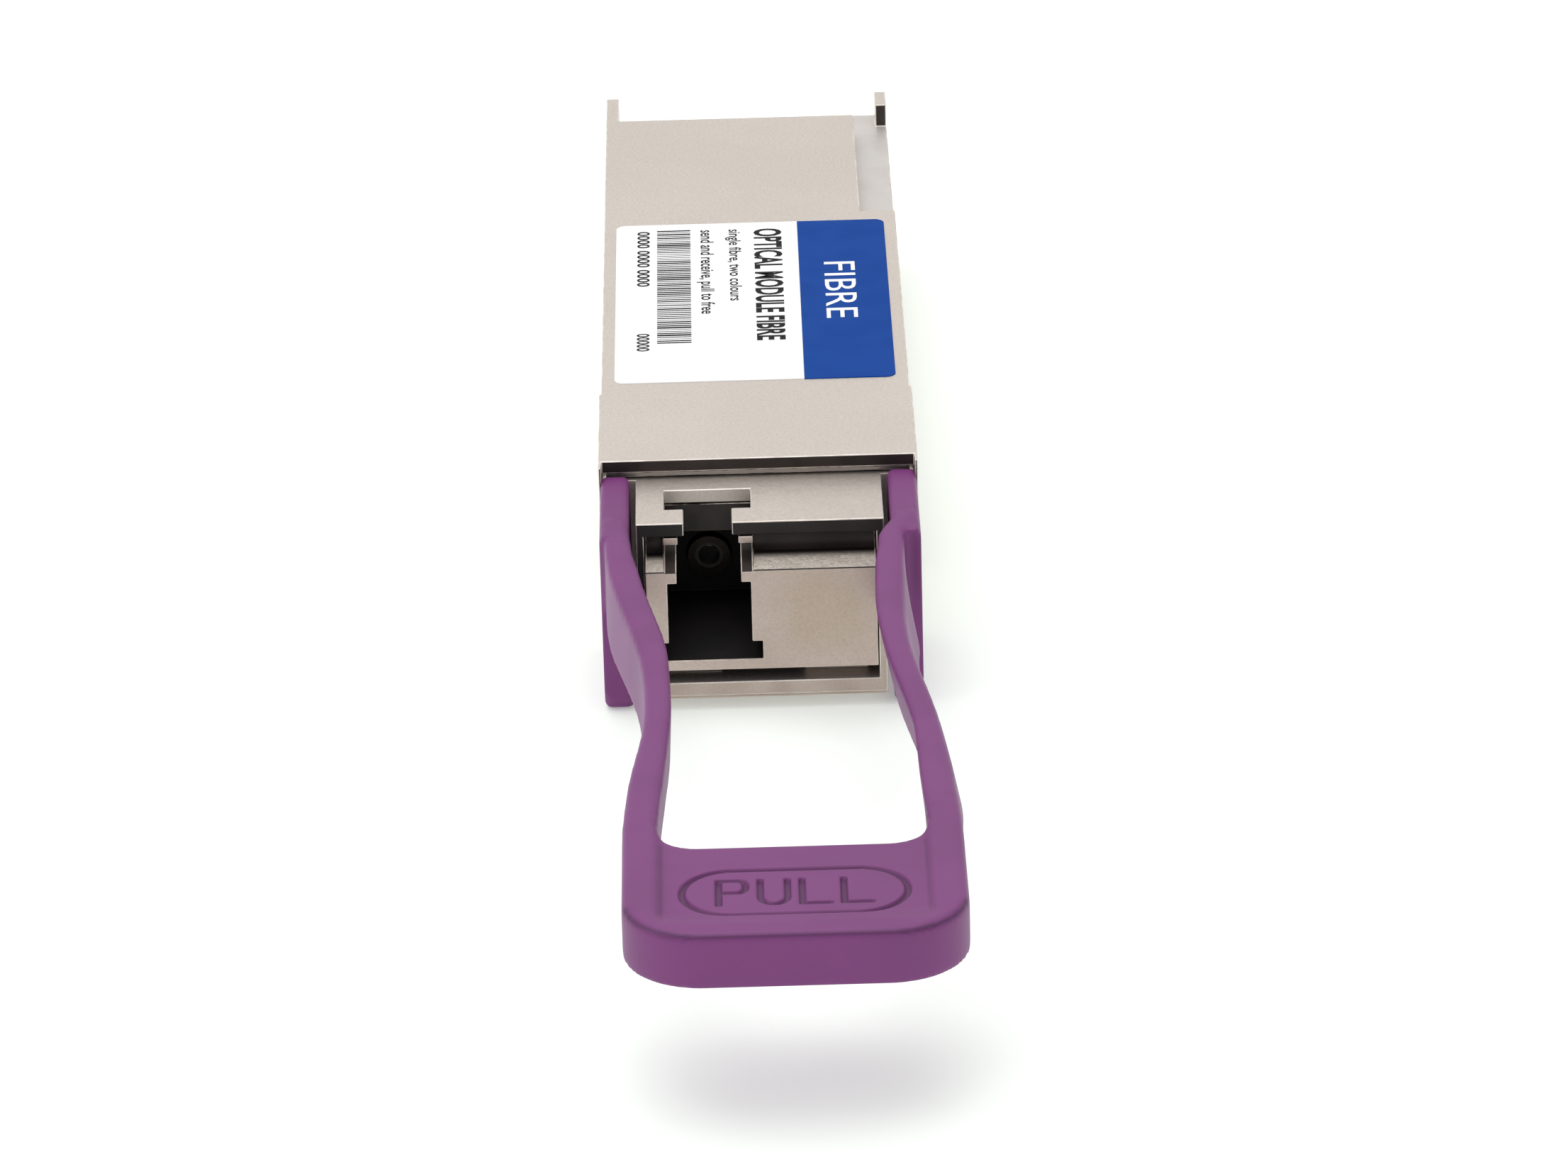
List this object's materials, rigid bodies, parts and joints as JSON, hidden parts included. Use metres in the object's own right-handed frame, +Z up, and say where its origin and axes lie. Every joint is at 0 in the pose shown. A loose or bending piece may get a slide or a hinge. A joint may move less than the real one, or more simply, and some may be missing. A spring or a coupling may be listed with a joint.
{
  "type": "optical transceiver module",
  "caption": "Pluggable optical transceiver: flat metal body with a card edge at the rear, one square fibre port in a deeper nose, and a soft looped pull tab that slides the release latch.",
  "frame": {"origin": "centre of the flat cooling face under the body", "axes": "+X to the right seen from the pull tab, +Y towards the card edge, +Z up to the labelled face"},
  "size_m": [0.0194, 0.1249, 0.0119],
  "materials": {
    "die_cast": "satin nickel plate",
    "cover_metal": "satin nickel plate",
    "insert_plastic": "matte beige",
    "gasket": "matte conductive rubber",
    "barrel_metal": "turned",
    "zirconia": "polished",
    "optic_metal": "machined",
    "gold_can": "gold plated",
    "screw_steel": "black oxide",
    "flex_film": "polyimide film",
    "board_laminate": "green solder mask",
    "contact_gold": "hard gold",
    "chip_epoxy": "moulded epoxy",
    "thermal_gap_pad": "soft silicone",
    "crystal_can": "lidded can",
    "ferrite": "pressed ferrite",
    "capacitor_body": "fired ceramic",
    "resistor_body": "glazed top",
    "absorber": "microwave absorbing foam",
    "label_film": "printed film",
    "slider_steel": "stamped stainless steel",
    "spring_steel": "drawn wire",
    "soft_tab": "soft purple moulding"
  },
  "bodies": {
    "housing": {"base_shell": "die_cast", "cover_shell": "cover_metal", "port_insert": "insert_plastic", "port_gasket": "gasket", "shell_gaskets": "gasket", "port_barrel": "barrel_metal", "ferrule_sleeve": "zirconia", "fibre_stub": "zirconia", "optical_body": "optic_metal", "laser_can": "gold_can", "receiver_can": "gold_can", "optic_clamp": "optic_metal", "clamp_screws": "screw_steel", "cover_screws": "screw_steel", "laser_flex": "flex_film", "receiver_flex": "flex_film", "main_board": "board_laminate", "edge_contacts": "contact_gold", "signal_processor": "chip_epoxy", "laser_driver": "chip_epoxy", "microcontroller": "chip_epoxy", "processor_pad": "thermal_gap_pad", "driver_pad": "thermal_gap_pad", "crystal": "crystal_can", "power_inductors": "ferrite", "capacitors": "capacitor_body", "resistors": "resistor_body", "absorber_pad": "absorber", "label": "label_film", "spring_left": "spring_steel", "spring_right": "spring_steel"},
    "latch": {"pull_tab": "soft_tab", "latch_slider": "slider_steel"}
  },
  "joints": [
    {"name": "latch_slide", "type": "slide", "parent": "housing", "child": "latch", "axis": [0, -1, 0], "range_m": [0, 0.002], "stiffness_N_per_m": 150, "springref_m": -0.003, "deforming": ["spring_left", "spring_right"]}
  ]
}
